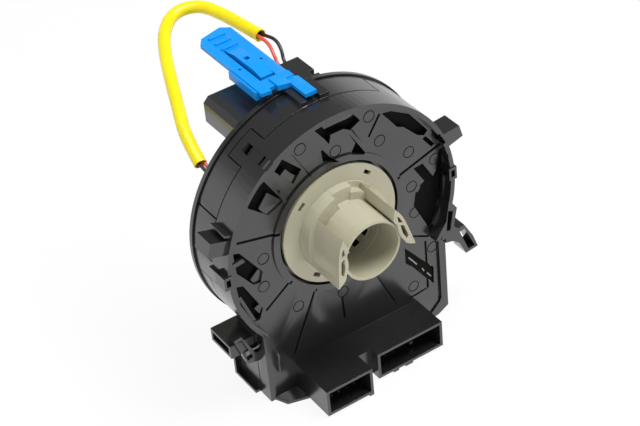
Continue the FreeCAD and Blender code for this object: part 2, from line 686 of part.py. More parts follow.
def half_turn(centre, radius, up):
    width = number_of(at.ribbon_width)
    low_y = number_of(ribbon_low_y())
    start = Vector(centre, low_y, 0)
    outer = Part.makeCylinder(radius + number_of(at.ribbon_wall), width, start, Vector(0, 1, 0))
    inner = Part.makeCylinder(radius, width, start, Vector(0, 1, 0))
    size = number_of(at.shell_rad) * 3
    keep = Part.makeBox(size, size, size, Vector(-size / 2, -size / 2, 0 if up else -size))
    return outer.cut(inner).common(keep)


def ribbon_low_y():
    return (at.face_y + at.face_wall + at.ring_rear_y - at.ribbon_width) / 2


def stator_joint_block():
    # receives the outer ends of both ribbons, side on to the casing wall
    low_y = ribbon_low_y() - 1
    inner = ribbon_outer_rad() - 1
    return radial_brick("stator_joint_block", at.ribbon_end_angle.value, (inner, low_y, -at.joint_long),
                        (at.shell_rad - at.shell_wall - at.joint_gap * 3, low_y + at.ribbon_width + 2, 0.0))


def rotor_joint_block():
    low_y = ribbon_low_y() - 1
    half = at.joint_long / 2
    inner = at.drum_rad - at.drum_wall / 2
    return radial_brick("rotor_joint_block", at.ribbon_end_angle.value, (inner, low_y, -half),
                        (ribbon_inner_rad() - at.joint_gap * 2, low_y + at.ribbon_width, half))


# cream hub sleeve: flanged tube with two cam wings

# wing outline and pockets as drawn for a tube of this radius, before the hub is turned on its axis
WING_DRAWN_RAD = 13.36
WING = [
    (12.4, 14.6), (14.2, 11.6), (15.6, 8.2), (16.8, 3.0), (17.9, -2.6), (18.8, -7.4), (16.6, -6.2), (14.8, -4.6),
    (13.6, -1.6), (12.8, 0.0), (12.2, 3.0), (12.2, 6.6), (11.0, 8.6), (10.9, 9.4),
]
WING_POCKETS = [
    [(12.9, 10.6), (13.9, 9.4), (14.8, 6.4), (13.0, 7.2)],
    [(13.6, 5.6), (15.1, 4.8), (16.4, -1.2), (15.4, -2.6), (14.0, 1.0)],
]
HUB_TURN = 6.5
SLOT_ANGLES = (51.5, 135.4, 236.4, -48.6)


def on_hub(points, side):
    # mirrored for the left side, then turned about the axis
    turn = math.radians(HUB_TURN)
    spots = []
    for x, z in points:
        x = x * side
        across = x * math.cos(turn) - z * math.sin(turn)
        up = x * math.sin(turn) + z * math.cos(turn)
        spots.append((at.tube_rad * (across / WING_DRAWN_RAD), at.tube_rad * (up / WING_DRAWN_RAD)))
    return spots


def boss(name, start, end, radius, height):
    # a stretch of a raised ring round the tube
    whole = ring(name + "_ring", at.tube_rad - at.tube_wall / 2, radius, -height, at.disc_wall / 2)
    return common(name, whole, sector(name + "_part", start, end, at.boss_rad, -at.boss_height - 1, at.disc_wall))


def hub_sleeve():
    rear = at.disc_wall
    bore = at.tube_rad - at.tube_wall
    disc_rad = at.hub_hole_rad - at.hub_gap
    shelf_rear = at.shelf_y + at.shelf_wall
    turned_part = turned("hub_turned", [
        (bore, at.tube_front_y), (at.tube_rad, at.tube_front_y), (at.tube_rad, 0), (disc_rad, 0), (disc_rad, rear),
        (at.tube_rad, rear), (at.tube_rad, shelf_rear), (at.shelf_rad, shelf_rear), (at.shelf_rad, at.shelf_y),
        (bore, at.shelf_y),
    ])
    pieces = [
        turned_part,
        boss("boss_left", 105, 218, at.boss_rad, at.boss_height),
        boss("boss_right", -38, 38, at.boss_rad, at.boss_height),
        boss("boss_plateau", 77, 106, at.boss_rad, at.plateau_height),
        boss("boss_step", 36, 78, at.step_rad, at.step_height),
        ring("low_ring", at.tube_rad - at.tube_wall / 2, at.boss_rad, -at.low_step, rear / 2),
        slab("wing_right", -at.wing_height, rear / 2, on_hub(WING, 1)),
        slab("wing_left", -at.wing_height, rear / 2, on_hub(WING, -1)),
    ]
    return cut("hub_sleeve", fuse("hub_solid", pieces), hub_tools(bore))


def hub_tools(bore):
    tools = [rod("hub_bore_clear", bore, -at.wing_height - 1, at.shelf_y, (0, 0))]
    for index, angle in enumerate(SLOT_ANGLES):
        tools.append(radial_brick("hub_slot_%d" % index, angle,
                                  (at.slot_ring_rad - at.slot_wide / 2, -at.disc_wall, at.slot_long * -0.5),
                                  (at.slot_ring_rad + at.slot_wide / 2, at.disc_wall * 2, at.slot_long * 0.5)))
    for side, word in ((1, "right"), (-1, "left")):
        for index, points in enumerate(WING_POCKETS):
            tools.append(slab("pocket_%s_%d" % (word, index), -at.wing_height - 1,
                              -at.wing_height + at.wing_pocket, on_hub(points, side)))
    return tools


# rotor: rear disc, drum that carries the ribbon, and the connector box at the top

def box_top_z():
    return at.shell_rad + at.disc_lip - at.box_sink


def box_low_z():
    return box_top_z() - at.box_high


def rotor_body():
    front = at.shelf_y + at.shelf_wall
    rear = at.rotor_rear_y
    disc_front = at.ring_rear_y + at.rotor_gap
    disc_rad = at.shell_rad + at.disc_lip
    bore = at.drum_bore_rad
    inner = at.drum_rad - at.drum_wall
    turned_part = turned("rotor_turned", [
        (bore, front), (at.drum_rad, front), (at.drum_rad, disc_front), (disc_rad, disc_front),
        (disc_rad, rear), (inner, rear), (inner, front + at.drum_wall), (bore + at.drum_wall, front + at.drum_wall),
        (bore + at.drum_wall, rear), (bore, rear),
    ])
    return cut("rotor_body", fuse("rotor_solid", [turned_part, rotor_box()]), rotor_tools())


def rotor_box():
    # connector box on the rear disc, its upper left edge cut back
    top = box_top_z()
    return slab("rotor_box", at.rotor_rear_y - 1, at.box_rear_y, [
        (at.box_left_x, box_low_z()), (at.box_right_x, box_low_z()), (at.box_right_x, top),
        (at.box_left_x + at.box_corner, top), (at.box_left_x, top - at.box_corner)])


def rotor_tools():
    wall = at.box_wall
    rear = at.rotor_rear_y
    top = box_top_z() - wall
    low = box_low_z() + wall
    past = at.box_rear_y + 1
    socket = brick("rotor_socket", (at.box_left_x + wall, rear + wall, low), (at.chamber_left_x - wall, past, top - wall / 2))
    chamber = brick("rotor_chamber", (at.chamber_left_x, rear + wall, low), (at.box_right_x - wall, past, top))
    notch = brick("rotor_box_notch", (at.box_right_x - wall * 1.5, at.box_rear_y - at.notch_wide * 5, top - wall * 3),
                  (at.box_right_x + 1, at.box_rear_y - at.notch_wide * 4, top + wall * 2))
    seat_low = ribbon_low_y() - 1
    seat = radial_brick("rotor_joint_seat", at.ribbon_end_angle.value,
                        (at.drum_rad - at.drum_wall / 2, seat_low, at.joint_long * -0.5),
                        (at.drum_rad + 2, seat_low + at.ribbon_width, at.joint_long * 0.5))
    return [socket, chamber, notch, seat, lead_slot()] + box_pins("box_hole")


def box_pins(name):
    rear = at.rotor_rear_y
    row_low = box_low_z() + at.box_wall + at.pin_margin
    start = at.box_left_x + at.box_wall + at.pin_margin
    spots = [(start + at.box_pitch * index, row_low + at.box_row * row) for row in range(2) for index in range(6)]
    return pin_group(name, spots, at.pin_side, rear - 1, rear + at.box_wall + at.box_pin_long)


def box_cover():
    wall = at.box_wall
    gap = at.cover_gap
    plate = brick("cover_plate", (at.chamber_left_x + gap, at.box_rear_y - at.cover_wall, box_low_z() + wall + gap),
                  (at.box_right_x - wall - gap, at.box_rear_y, box_top_z() - wall - gap))
    return cut("box_cover", plate, [wire_hole("red_hole", RED_END), wire_hole("black_hole", BLACK_END)])


def wire_hole(name, spot):
    return rod(name, at.wire_rad, at.box_rear_y - at.cover_wall * 3, at.box_rear_y + at.cover_wall, (spot[0], spot[2]))


def lead_slot():
    # both wires leave the rear disc side by side through one oblong slot
    half_long = at.wire_offset + at.wire_rad * 1.6
    half_high = at.wire_rad * 1.9
    x, z = LEAD_START
    return brick("lead_slot", (-half_long + x, at.ring_rear_y - 1, -half_high + z + 0.3),
                 (half_long + x, at.rotor_rear_y + 1, half_high + z + 0.3))


# transport lock

def lock_clip():
    low = clip_low_z()
    top = low + at.clip_wall
    left = at.clip_left_x
    front = at.clip_front_y
    plate = deck("clip_plate", low, top, clip_outline())
    skirt = brick("clip_skirt", (left - at.clip_wall * 0.7, front + 1, low - at.skirt_drop),
                  (left + at.clip_wall * 0.4, at.clip_rear_y * 0.6, top - at.clip_wall * 0.3))
    pad_low = deck("clip_front_pad", top - at.clip_wall / 2, top + at.ridge_high, [
        (left + at.ridge_wide, front - 2), (left + at.ridge_wide, front + 5), (at.clip_right_x, front + 5),
        (at.clip_right_x, front + 1), (at.tongue_mid_x - at.tongue_wide / 2, front + 1),
        (at.tongue_mid_x - at.tongue_wide / 2, front - 3)])
    pieces = [plate, skirt, pad_low, latch()] + ridges()
    return cut("lock_clip", fuse("clip_solid", pieces), latch_slots())


def clip_outline():
    left, right = at.clip_left_x, at.clip_right_x
    front, rear = at.clip_front_y, at.clip_rear_y
    tongue_left = at.tongue_mid_x - at.tongue_wide / 2
    tongue_right = at.tongue_mid_x + at.tongue_wide / 2
    notch_x = left + at.ridge_wide * 0.6
    return [
        (tongue_left, at.tongue_front_y), (tongue_right, at.tongue_front_y), (tongue_right, front),
        (right, front + 1), (right, rear - 3), (right - 3.7, rear), (left + 2.7, rear - 2.6), (left, rear - 6.4),
        (left, front - 1.4), (notch_x, front - 2), (notch_x, front), (left + at.ridge_wide, front),
        (left + at.ridge_wide, front - 2), (tongue_left, front - 3),
    ]


def ridges():
    # three grip ridges near the rear end
    top = clip_low_z() + at.clip_wall
    left = at.clip_left_x + at.ridge_wide * 0.6
    made = []
    for index in range(3):
        start = at.clip_rear_y - at.ridge_high * 9 - at.ridge_long * 3.8 * index
        made.append(brick("clip_ridge_%d" % index, (left, start, top - at.ridge_high / 2),
                          (left + at.ridge_wide, start + at.ridge_long, top + at.ridge_high)))
    return made


def latch():
    # springy arm that rises out of the plate towards its free front end
    top = clip_low_z() + at.clip_wall
    left = at.clip_left_x + at.latch_wide
    rear = at.clip_rear_y - at.ridge_wide * 2.4
    front = at.clip_front_y + at.ridge_wide
    return side_slab("clip_latch", left, left + at.latch_wide, [
        (rear, top - at.clip_wall), (rear, top), (rear - at.latch_wide, top + at.latch_high),
        (front + at.latch_wide, top + at.latch_high * 1.3), (front, top + at.latch_high * 0.4),
        (front, top - at.clip_wall)])


def latch_slots():
    low = clip_low_z() - 1
    high = low + at.clip_wall * 4
    left = at.clip_left_x + at.latch_wide
    right = left + at.latch_wide
    front = at.clip_front_y + at.ridge_wide
    rear = at.clip_rear_y - at.ridge_wide * 2.2
    slit = at.ridge_long * 0.75
    middle = (left + right) / 2
    return [
        brick("latch_slit_left", (left - slit, front, low), (left, rear, high)),
        brick("latch_slit_right", (right, front, low), (right + slit * 0.7, rear - at.latch_wide, high)),
        brick("latch_slit_front", (left - slit, front - slit, low), (right + slit * 0.7, front, high)),
        brick("latch_eye", (middle - slit, front + at.latch_wide * 2.4, low), (middle + slit, front + at.latch_wide * 2.8, high)),
        rod_up("clip_hole_left", (at.clip_left_x + at.latch_wide / 2, front + at.latch_wide * 2)),
        rod_up("clip_hole_right", (right + slit * 2.4, front + at.latch_wide * 2.2)),
    ]


def rod_up(name, spot):
    # a small round hole down through the plate
    made = doc.addObject("Part::Cylinder", name)
    made.Radius = (at.ridge_long / 2).value
    bind(made, "Radius", at.ridge_long / 2)
    made.Height = (at.clip_wall * 4).value
    bind(made, "Height", at.clip_wall * 4)
    for path, size in zip(("x", "y", "z"), (spot[0], spot[1], clip_low_z() - 1)):
        setattr(made.Placement.Base, path, size.value)
        bind(made, "Placement.Base." + path, size)
    return made


# lead: a yellow sleeve with a red and a black wire, from the rotor's rear disc round to the box

# the sleeve's points run up and back behind the drum, over an arch and forward to the box
SLEEVE_ROUTE = [
    (-41.0, 33.5, 30.2), (-39.9, 45.5, 36.2), (-35.5, 57.0, 40.6), (-30.1, 71.0, 45.1), (-24.6, 84.5, 48.4),
    (-18.0, 96.8, 51.2), (-8.2, 105.0, 53.2), (2.8, 102.0, 53.8), (6.6, 89.5, 53.6), (8.6, 77.0, 53.2), (10.2, 65.5, 52.9),
]
LEAD_START = (-39.0, 26.3)
RED_END = (8.2, 46.0, 46.6)
BLACK_END = (11.0, 46.0, 46.6)
RED_TAIL = [(9.6, 58.5, 53.0), (8.6, 53.4, 50.6), (8.2, 50.2, 46.6), (8.2, 45.2, 46.6)]
BLACK_TAIL = [(13.0, 58.5, 53.6), (12.6, 53.6, 51.0), (11.0, 50.2, 46.6), (11.0, 45.2, 46.6)]


def wire_route(side, tail):
    # the wire lies beside the sleeve's middle line, shifted sideways in the level plane
    shift = number_of(at.wire_offset) * side
    spots = [Vector(*point) for point in SLEEVE_ROUTE]
    points = [(LEAD_START[0] + shift, number_of(at.rotor_rear_y) - 1.5, LEAD_START[1])]
    for index, spot in enumerate(spots):
        ahead = spots[min(index + 1, len(spots) - 1)] - spots[max(index - 1, 0)]
        across = Vector(ahead.y, -ahead.x, 0).normalize() * shift
        moved = spot + across
        points.append((moved.x, moved.y, moved.z))
    return points + tail


def tangent_path(points):
    # straight runs joined by tangent arcs
    spots = [Vector(*point) for point in points]
    edges = []
    radii = []
    start = spots[0]
    for before, corner, after in zip(spots, spots[1:], spots[2:]):
        back = before - corner
        ahead = after - corner
        reach = 0.45 * min(back.Length, ahead.Length)
        back.normalize()
        ahead.normalize()
        turn = math.pi - back.getAngle(ahead)
        radii.append(reach / math.tan(turn / 2))
        first = corner + back * reach
        last = corner + ahead * reach
        inside = (back + ahead).normalize()
        centre = corner + inside * (radii[-1] / math.cos(turn / 2))
        middle = centre - inside * radii[-1]
        edges.append(Part.LineSegment(start, first).toShape())
        edges.append(Part.Arc(first, middle, last).toShape())
        start = last
    edges.append(Part.LineSegment(start, spots[-1]).toShape())
    return Part.Wire(edges), radii


def tube(points, radius, bore=None):
    wire, radii = tangent_path(points)
    start = Vector(*points[0])
    aim = (Vector(*points[1]) - start).normalize()
    profile = Part.Wire([Part.makeCircle(number_of(radius), start, aim)])
    solid = wire.makePipeShell([profile], True, True)
    section = math.pi * number_of(radius) ** 2
    if bore is not None:
        inner = Part.Wire([Part.makeCircle(number_of(bore), start, aim)])
        solid = solid.cut(wire.makePipeShell([inner], True, True))
        section -= math.pi * number_of(bore) ** 2
    print("lead radii", [round(size, 1) for size in radii], "length", round(wire.Length, 1),
          "volume ratio", round(solid.Volume / (section * wire.Length), 4))
    return solid


def save_parts(nodes):
    doc.recompute()
    bad = [item.Name for item in doc.Objects if "Invalid" in item.State or "Error" in item.State]
    if bad:
        raise RuntimeError("objects not computed: " + ", ".join(bad))
    os.makedirs("parts", exist_ok=True)
    for name, item in nodes.items():
        shape = item.Shape
        if shape.isNull() or not shape.isValid():
            raise RuntimeError("bad solid: " + name)
        item.Label = name
        shape.exportStep("parts/%s.step" % name)
        print("%-22s solids %d volume %.1f" % (name, len(shape.Solids), shape.Volume))


narrow_spots, wide_spots, blade_spots = pin_spots()
nodes = {
    "front_housing": front_housing(),
    "rear_housing": rear_housing(),
    "terminal_cover": terminal_cover(),
    "narrow_socket_pins": pins("narrow_pins", narrow_spots, at.pin_side, at.narrow_front_y),
    "wide_socket_pins": pins("wide_pins", wide_spots, at.pin_side, at.wide_front_y),
    "front_slip_sheet": slip_ring("slip_front", at.face_y + at.face_wall + at.slip_gap),
    "rear_slip_sheet": slip_ring("slip_rear", at.ring_rear_y - at.slip_wall - at.slip_gap),
    "flat_cable_signal": ribbon("ribbon_signal", ribbon_inner_rad()),
    "flat_cable_power": ribbon("ribbon_power", ribbon_inner_rad() + ribbon_step() / 2),
    "stator_joint_block": stator_joint_block(),
    "rotor_joint_block": rotor_joint_block(),
    "hub_sleeve": hub_sleeve(),
    "rotor_body": rotor_body(),
    "box_cover": box_cover(),
    "lock_clip": lock_clip(),
    "wide_socket_blade": pins("blade", blade_spots, at.blade_side, at.wide_front_y),
    "box_terminals": fuse("box_contacts", box_pins("box_pin")),
    "yellow_sleeve": feature("sleeve", tube(SLEEVE_ROUTE, at.sleeve_rad, at.sleeve_bore_rad)),
    "red_wire": feature("red_lead", tube(wire_route(1, RED_TAIL), at.wire_rad)),
    "black_wire": feature("black_lead", tube(wire_route(-1, BLACK_TAIL), at.wire_rad)),
}
save_parts(nodes)
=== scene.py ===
import json
import math

import bmesh
import bpy
from mathutils import Matrix, Vector


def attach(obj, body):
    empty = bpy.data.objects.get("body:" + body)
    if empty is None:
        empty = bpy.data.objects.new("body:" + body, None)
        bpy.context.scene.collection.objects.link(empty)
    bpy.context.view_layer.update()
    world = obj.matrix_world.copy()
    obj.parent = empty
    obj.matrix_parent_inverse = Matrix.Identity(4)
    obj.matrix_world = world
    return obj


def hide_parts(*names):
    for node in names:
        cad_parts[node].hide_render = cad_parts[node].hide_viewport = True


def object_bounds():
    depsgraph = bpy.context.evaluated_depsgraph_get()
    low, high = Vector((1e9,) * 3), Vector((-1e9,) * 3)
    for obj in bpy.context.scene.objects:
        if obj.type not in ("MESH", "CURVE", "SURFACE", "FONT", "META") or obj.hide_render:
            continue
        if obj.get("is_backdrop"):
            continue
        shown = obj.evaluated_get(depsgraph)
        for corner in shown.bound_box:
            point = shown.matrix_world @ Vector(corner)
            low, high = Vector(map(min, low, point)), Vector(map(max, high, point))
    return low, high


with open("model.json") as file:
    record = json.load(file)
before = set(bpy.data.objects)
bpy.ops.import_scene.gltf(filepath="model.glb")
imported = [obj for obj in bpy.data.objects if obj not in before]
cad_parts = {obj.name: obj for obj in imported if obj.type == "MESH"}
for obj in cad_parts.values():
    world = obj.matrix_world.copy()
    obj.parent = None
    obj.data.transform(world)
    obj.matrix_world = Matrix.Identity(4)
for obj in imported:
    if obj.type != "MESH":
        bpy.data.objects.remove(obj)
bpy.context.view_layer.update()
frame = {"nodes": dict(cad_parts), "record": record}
nodes = frame["nodes"]
millimetre = 0.001
sharpAngle = 32.0  # degrees: an edge that turns by more than this stays crisp
print("frame loaded:", len(nodes), "nodes")

scene = bpy.context.scene
scene.view_settings.view_transform = "Standard"


# camera: fitted to the photograph, in degrees and metres
cameraView = {
    "azimuth": -30.45, "elevation": 37.75, "roll": -5.85, "distance": 0.737,
    "aimRight": -0.0076, "aimUp": 0.00497, "focalPixels": 1844.0, "imageWide": 640.0,
    "sensor": 36.0, "clipNear": 0.01, "clipFar": 10.0,
}


def addCamera(view):
    azimuth, elevation, roll = (math.radians(view[key]) for key in ("azimuth", "elevation", "roll"))
    flat = math.cos(elevation)
    back = Vector((math.sin(azimuth) * flat, -math.cos(azimuth) * flat, math.sin(elevation)))
    right = Vector((math.cos(azimuth), math.sin(azimuth), 0))
    up = back.cross(right)
    aim = right * view["aimRight"] + up * view["aimUp"]
    rolledRight = right * math.cos(roll) + up * math.sin(roll)
    rolledUp = up * math.cos(roll) - right * math.sin(roll)
    data = bpy.data.cameras.new("photoCamera")
    data.sensor_width = view["sensor"]
    data.lens = view["sensor"] * view["focalPixels"] / view["imageWide"]
    data.clip_start, data.clip_end = view["clipNear"], view["clipFar"]
    camera = bpy.data.objects.new("photoCamera", data)
    turn = Matrix((rolledRight, rolledUp, back)).transposed().to_4x4()
    camera.matrix_world = Matrix.Translation(aim + back * view["distance"]) @ turn
    scene.collection.objects.link(camera)
    scene.camera = camera


addCamera(cameraView)
print("camera placed")


# lead: route points repeated from the part's source, in metres
lead = {
    "route": [
        (-0.0410, 0.0335, 0.0302), (-0.0399, 0.0455, 0.0362), (-0.0355, 0.0570, 0.0406),
        (-0.0301, 0.0710, 0.0451), (-0.0246, 0.0845, 0.0484), (-0.0180, 0.0968, 0.0512),
        (-0.0082, 0.1050, 0.0532), (0.0028, 0.1020, 0.0538), (0.0066, 0.0895, 0.0536),
        (0.0086, 0.0770, 0.0532), (0.0102, 0.0655, 0.0529),
    ],
    "start": (-0.0390, 0.0227, 0.0263),
    "redTail": [
        (0.0096, 0.0585, 0.0530), (0.0086, 0.0534, 0.0506), (0.0082, 0.0502, 0.0466),
        (0.0082, 0.0452, 0.0466),
    ],
    "blackTail": [
        (0.0130, 0.0585, 0.0536), (0.0126, 0.0536, 0.0510), (0.0110, 0.0502, 0.0466),
        (0.0110, 0.0452, 0.0466),
    ],
    "wireOffset": 0.00095, "wireRadius": 0.00075, "sleeveOuter": 0.00275, "sleeveBore": 0.0023,
    "sleeveLength": 0.131, "redLength": 0.1624, "blackLength": 0.1684,
    "wireSides": 14, "sleeveSides": 28, "lineSteps": 10,
}


def wirePoints(side, tail):
    spots = [Vector(point) for point in lead["route"]]
    shift = lead["wireOffset"] * side
    start = Vector(lead["start"]) + Vector((shift, 0, 0))
    points = [tuple(start)]
    for index, spot in enumerate(spots):
        ahead = spots[min(index + 1, len(spots) - 1)] - spots[max(index - 1, 0)]
        across = Vector((ahead.y, -ahead.x, 0)).normalized() * shift
        points.append(tuple(spot + across))
    return points + tail


def splinePath(points):
    # the smooth line that a tube follows, read from its route's spline
    data = bpy.data.curves.new("routeLine", "CURVE")
    data.dimensions = "3D"
    spline = data.splines.new("NURBS")
    spline.points.add(len(points) - 1)
    for point, spot in zip(spline.points, points):
        point.co = (*spot, 1)
    spline.order_u = 3
    spline.use_endpoint_u = True
    spline.resolution_u = lead["lineSteps"]
    bare = bpy.data.objects.new("routeLine", data)
    scene.collection.objects.link(bare)
    bpy.context.view_layer.update()
    shape = bpy.data.meshes.new_from_object(bare.evaluated_get(bpy.context.evaluated_depsgraph_get()))
    path = [vertex.co.copy() for vertex in shape.vertices]
    bpy.data.objects.remove(bare)
    return path


def addPiece(name, shape, smooth=True):
    data = bpy.data.meshes.new(name)
    shape.to_mesh(data)
    shape.free()
    if smooth:
        data.shade_smooth()
        data.set_sharp_from_angle(angle=math.radians(sharpAngle))
    made = bpy.data.objects.new(name, data)
    scene.collection.objects.link(made)
    return made


def pathRings(shape, path, radius, sides):
    rings = []
    for index, spot in enumerate(path):
        ahead = (path[min(index + 1, len(path) - 1)] - path[max(index - 1, 0)]).normalized()
        across = ahead.cross(Vector((0, 0, 1))).normalized()
        lift = across.cross(ahead)
        ring = []
        for side in range(sides):
            turn = 2 * math.pi * side / sides
            offset = (across * math.cos(turn) + lift * math.sin(turn)) * radius
            ring.append(shape.verts.new(spot + offset))
        rings.append(ring)
    return rings


def bridge(shape, first, second):
    for side in range(len(first)):
        after = (side + 1) % len(first)
        shape.faces.new((first[side], second[side], second[after], first[after]))


def layTube(name, path, outer, bore, sides):
    # a round tube along the path: hollow with open ends where it has a bore, else solid with closed ends
    shape = bmesh.new()
    walls = [pathRings(shape, path, outer, sides)]
    if bore:
        walls.append(pathRings(shape, path, bore, sides))
    for rings in walls:
        for first, second in zip(rings, rings[1:]):
            bridge(shape, first, second)
    for end in (0, -1):
        if bore:
            bridge(shape, walls[0][end], walls[1][end])
        else:
            shape.faces.new(walls[0][end])
    bmesh.ops.recalc_face_normals(shape, faces=shape.faces)
    return addPiece(name, shape)


redPoints = wirePoints(1, lead["redTail"])
blackPoints = wirePoints(-1, lead["blackTail"])
redPath, blackPath, sleevePath = (splinePath(points) for points in (redPoints, blackPoints, lead["route"]))
redLead = layTube("redLead", redPath, lead["wireRadius"], 0, lead["wireSides"])
blackLead = layTube("blackLead", blackPath, lead["wireRadius"], 0, lead["wireSides"])
yellowTube = layTube("yellowTube", sleevePath, lead["sleeveOuter"], lead["sleeveBore"], lead["sleeveSides"])
for piece, node in ((redLead, "red_wire"), (blackLead, "black_wire"), (yellowTube, "yellow_sleeve")):
    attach(piece, "rotor")
    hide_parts(node)
print("lead laid")


# materials: colour, gloss and grain of each finish
finishes = {
    "black_gloss": {
        "colour": (0.014, 0.014, 0.015), "rough": 0.2, "specular": 1.0, "grain": 0.10, "grainSize": 900.0},
    "black_satin": {
        "colour": (0.014, 0.014, 0.015), "rough": 0.3, "specular": 0.8, "grain": 0.16, "grainSize": 1100.0},
    "cream": {
        "colour": (0.45, 0.43, 0.315), "rough": 0.36, "specular": 0.5, "grain": 0.06, "grainSize": 700.0,
        "under": 0.1},
    "blue": {
        "colour": (0.001, 0.26, 0.76), "rough": 0.32, "specular": 0.4, "grain": 0.08, "grainSize": 900.0},
    "yellow": {
        "colour": (0.90, 0.72, 0.006), "rough": 0.28, "specular": 0.5, "grain": 0.10, "grainSize": 500.0,
        "under": 0.2},
    "red": {
        "colour": (0.78, 0.10, 0.07), "rough": 0.35, "specular": 0.5, "grain": 0.05, "grainSize": 900.0},
    "wire_black": {
        "colour": (0.02, 0.02, 0.02), "rough": 0.35, "specular": 0.5, "grain": 0.05, "grainSize": 900.0},
    "tin": {
        "colour": (0.62, 0.62, 0.60), "rough": 0.25, "specular": 0.5, "grain": 0.04, "grainSize": 900.0,
        "metal": 1.0},
    "film": {
        "colour": (0.68, 0.62, 0.45), "rough": 0.25, "specular": 0.5, "grain": 0.03, "grainSize": 900.0},
    "slip_film": {
        "colour": (0.004, 0.004, 0.004), "rough": 0.6, "specular": 0.08, "grain": 0.03, "grainSize": 900.0},
    # painted shade: a near-black matte finish for dark places where only shade falls
    "shade": {
        "colour": (0.006, 0.006, 0.005), "rough": 0.75, "specular": 0.08, "grain": 0.05, "grainSize": 900.0},
    # painted light: a light grey for the bright slits low on the face, where the white floor shows through
    "painted_light": {
        "colour": (0.3, 0.3, 0.3), "rough": 0.5, "specular": 0.5, "grain": 0.05, "grainSize": 900.0},
    "cream_grey": {
        "colour": (0.42, 0.40, 0.31), "rough": 0.45, "specular": 0.4, "grain": 0.2, "grainSize": 1500.0},
}
plastic = {
    "driftScale": 45.0, "driftDetail": 4.0, "driftLow": 0.88, "driftHigh": 1.12,
    "grainDetail": 3.0, "grainDepth": 0.00004, "underDepth": 0.002,
}


def addNode(tree, kind, values=None, **settings):
    node = tree.nodes.new(kind)
    for name, setting in settings.items():
        setattr(node, name, setting)
    for name, value in (values or {}).items():
        node.inputs[name].default_value = value
    return node


def addSockets(tree, way, rows):
    for name, kind in rows:
        tree.interface.new_socket(name, in_out=way, socket_type="NodeSocket" + kind)


def mouldGroup(look):
    # fine mould texture and slow colour drift, shared by every plastic
    tree = bpy.data.node_groups.new("mouldSurface", "ShaderNodeTree")
    addSockets(tree, "INPUT", (("Colour", "Color"), ("Roughness", "Float"), ("Grain", "Float"),
                               ("Grain size", "Float")))
    addSockets(tree, "OUTPUT", (("Colour", "Color"), ("Roughness", "Float"), ("Normal", "Vector")))
    link = tree.links.new
    inside, outside = addNode(tree, "NodeGroupInput"), addNode(tree, "NodeGroupOutput")
    place = addNode(tree, "ShaderNodeTexCoord")
    slow = addNode(tree, "ShaderNodeTexNoise", {"Scale": look["driftScale"], "Detail": look["driftDetail"]})
    fine = addNode(tree, "ShaderNodeTexNoise", {"Detail": look["grainDetail"]})
    drift = addNode(tree, "ShaderNodeMapRange", {"To Min": look["driftLow"], "To Max": look["driftHigh"]})
    tint = addNode(tree, "ShaderNodeMix", {"Factor": 1.0}, data_type="RGBA", blend_type="MULTIPLY")
    rough = addNode(tree, "ShaderNodeMath", operation="MULTIPLY")
    bump = addNode(tree, "ShaderNodeBump", {"Distance": look["grainDepth"]})
    link(place.outputs["Object"], slow.inputs["Vector"])
    link(place.outputs["Object"], fine.inputs["Vector"])
    link(inside.outputs["Grain size"], fine.inputs["Scale"])
    link(slow.outputs["Fac"], drift.inputs["Value"])
    link(inside.outputs["Colour"], tint.inputs["A"])
    link(drift.outputs["Result"], tint.inputs["B"])
    link(inside.outputs["Roughness"], rough.inputs[0])
    link(drift.outputs["Result"], rough.inputs[1])
    link(inside.outputs["Grain"], bump.inputs["Strength"])
    link(fine.outputs["Fac"], bump.inputs["Height"])
    link(tint.outputs["Result"], outside.inputs["Colour"])
    link(rough.outputs["Value"], outside.inputs["Roughness"])
    link(bump.outputs["Normal"], outside.inputs["Normal"])
    return tree


mouldSurface = mouldGroup(plastic)


def makeFinish(name, look):
    material = bpy.data.materials.new(name)
    material.use_nodes = True
    tree = material.node_tree
    shader = tree.nodes["Principled BSDF"]
    surface = addNode(tree, "ShaderNodeGroup", node_tree=mouldSurface)
    surface.inputs["Colour"].default_value = (*look["colour"], 1)
    surface.inputs["Roughness"].default_value = look["rough"]
    surface.inputs["Grain"].default_value = look["grain"]
    surface.inputs["Grain size"].default_value = look["grainSize"]
    tree.links.new(surface.outputs["Colour"], shader.inputs["Base Color"])
    tree.links.new(surface.outputs["Roughness"], shader.inputs["Roughness"])
    tree.links.new(surface.outputs["Normal"], shader.inputs["Normal"])
    shader.inputs["Specular IOR Level"].default_value = look["specular"]
    shader.inputs["Metallic"].default_value = look.get("metal", 0.0)
    shader.inputs["Subsurface Weight"].default_value = look.get("under", 0.0)
    shader.inputs["Subsurface Scale"].default_value = plastic["underDepth"]
    return material


materials = {name: makeFinish(name + "_finish", look) for name, look in finishes.items()}
slotOf = {row["node"]: row["material_slot"] for row in frame["record"]["subparts"]}
for name, node in nodes.items():
    node.data.materials.clear()
    node.data.materials.append(materials[slotOf[name]])


def finishPiece(piece, slot, look=None):
    piece.data.materials.clear()
    piece.data.materials.append(materials[look or slot])


for piece, slot in ((redLead, "red"), (blackLead, "wire_black"), (yellowTube, "yellow")):
    finishPiece(piece, slot)
print("materials set")


# mouldings: the visible shells with the small round that a mould leaves on every edge, in metres and degrees
mouldings = {
    "edge": 0.00022, "steps": 2, "edgeAngle": 34.0, "mergeGap": 0.000002, "flatAngle": 0.3,
    "shells": [
        ("frontShell", "front_housing", "stator"), ("rearShell", "rear_housing", "stator"),
        ("coverShell", "terminal_cover", "stator"), ("rotorShell", "rotor_body", "rotor"),
        ("hubShell", "hub_sleeve", "rotor"), ("clipShell", "lock_clip", "lock"),
    ],
}


